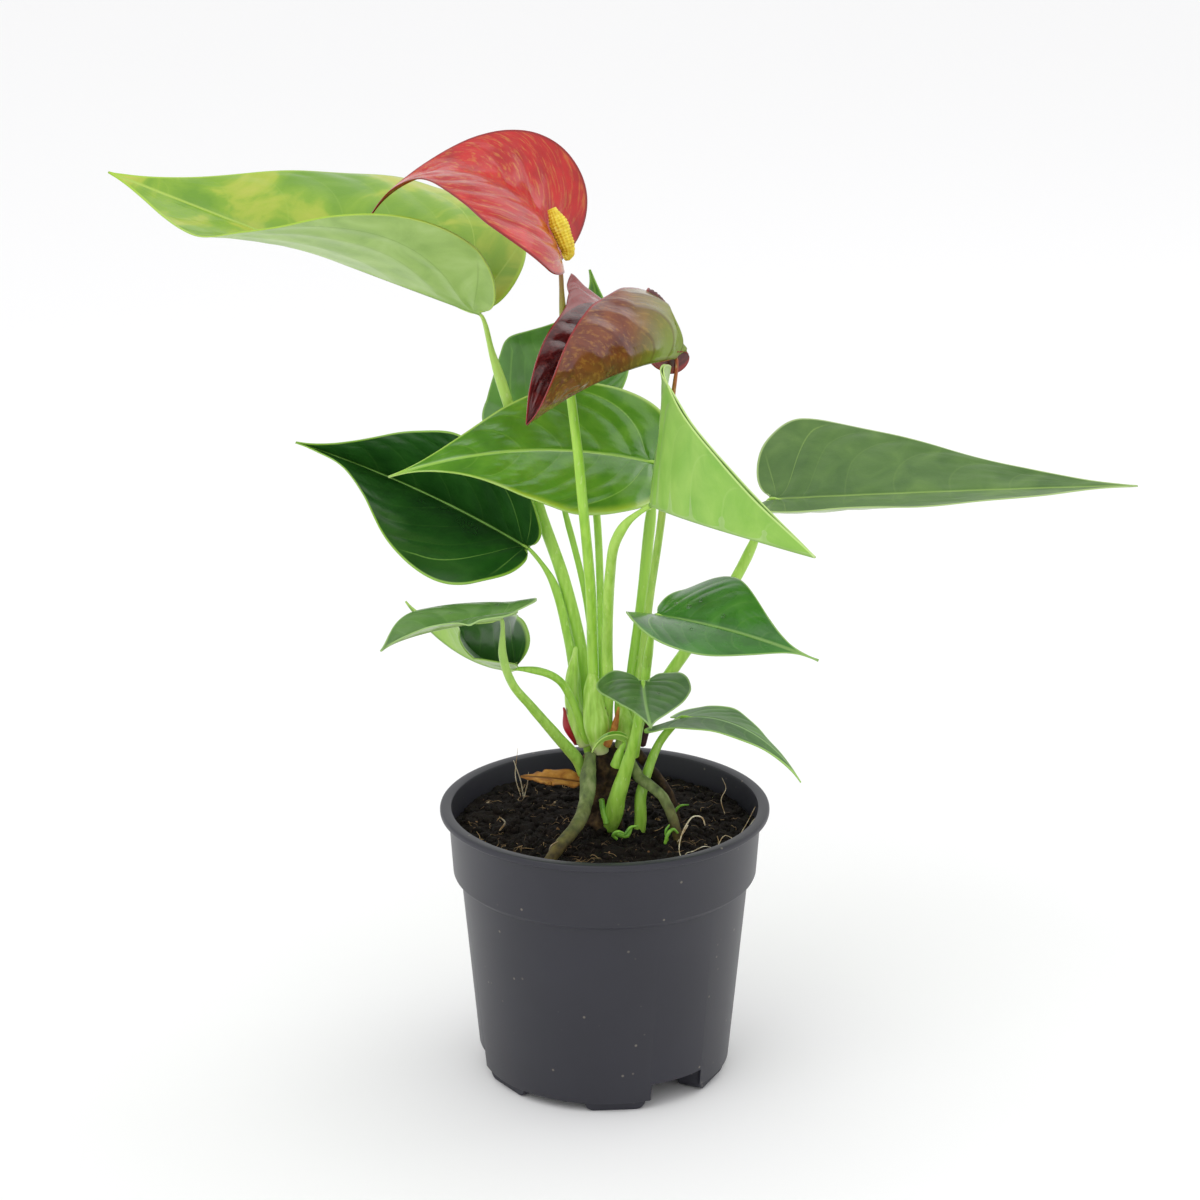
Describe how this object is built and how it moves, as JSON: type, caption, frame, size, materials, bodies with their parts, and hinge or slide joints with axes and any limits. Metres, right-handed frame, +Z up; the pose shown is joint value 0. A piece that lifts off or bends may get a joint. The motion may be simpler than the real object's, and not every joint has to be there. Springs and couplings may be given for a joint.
{
  "type": "potted anthurium",
  "caption": "Young anthurium in a round plastic nursery pot of peat: heart-shaped leaves on slender stalks and two curved red spathes, each with a yellow spadix.",
  "frame": {"origin": "on the ground, under the middle of the whole object's box; the pot's axis stands 22 mm behind it and 2 mm to its left", "axes": "+Z up along the pot's axis; +X to the right as the plant is seen from its front, along the line of its two longest side leaves; +Y to the back"},
  "size_m": [0.3712, 0.2176, 0.3459],
  "materials": {
    "pot_plastic": "satin",
    "peat": "matte",
    "bark": "matte",
    "root_skin": "matte",
    "petiole_green": "satin",
    "sheath_green": "satin",
    "leaf_green": "satin",
    "young_leaf": "satin",
    "spathe_red": "gloss",
    "spathe_maroon": "gloss",
    "spadix_yellow": "matte",
    "dry_brown": "matte",
    "bud_red": "satin"
  },
  "bodies": {
    "root": {"pot": "pot_plastic", "soil": "peat", "rootstock": "bark", "sheath_front": "sheath_green", "sheath_left": "sheath_green", "sheath_right": "sheath_green", "aerial_root_front": "root_skin", "aerial_root_right": "root_skin", "aerial_root_back": "bark", "red_bud": "bud_red", "dry_bract": "dry_brown", "shoot_stub": "young_leaf", "shoot_curl": "young_leaf", "rolled_leaf": "petiole_green", "new_leaf_stalk": "petiole_green", "new_leaf": "young_leaf", "dried_leaf": "dry_brown", "front_heart_petiole": "petiole_green", "front_heart_leaf": "leaf_green", "small_left_petiole": "petiole_green", "small_left_leaf": "leaf_green", "folded_left_petiole": "petiole_green", "folded_left_leaf": "leaf_green", "small_right_petiole": "petiole_green", "small_right_leaf": "leaf_green", "lower_right_petiole": "petiole_green", "lower_right_leaf": "leaf_green", "front_right_petiole": "petiole_green", "front_right_leaf": "young_leaf", "centre_petiole": "petiole_green", "centre_leaf": "young_leaf", "mid_left_petiole": "petiole_green", "mid_left_leaf": "leaf_green", "right_petiole": "petiole_green", "right_leaf": "leaf_green", "top_left_petiole": "petiole_green", "top_left_leaf": "young_leaf", "back_petiole": "petiole_green", "back_leaf": "leaf_green", "open_peduncle": "petiole_green", "open_spathe": "spathe_red", "open_spadix": "spadix_yellow", "curled_peduncle": "petiole_green", "curled_spathe": "spathe_maroon", "curled_spadix": "spadix_yellow"}
  },
  "joints": []
}
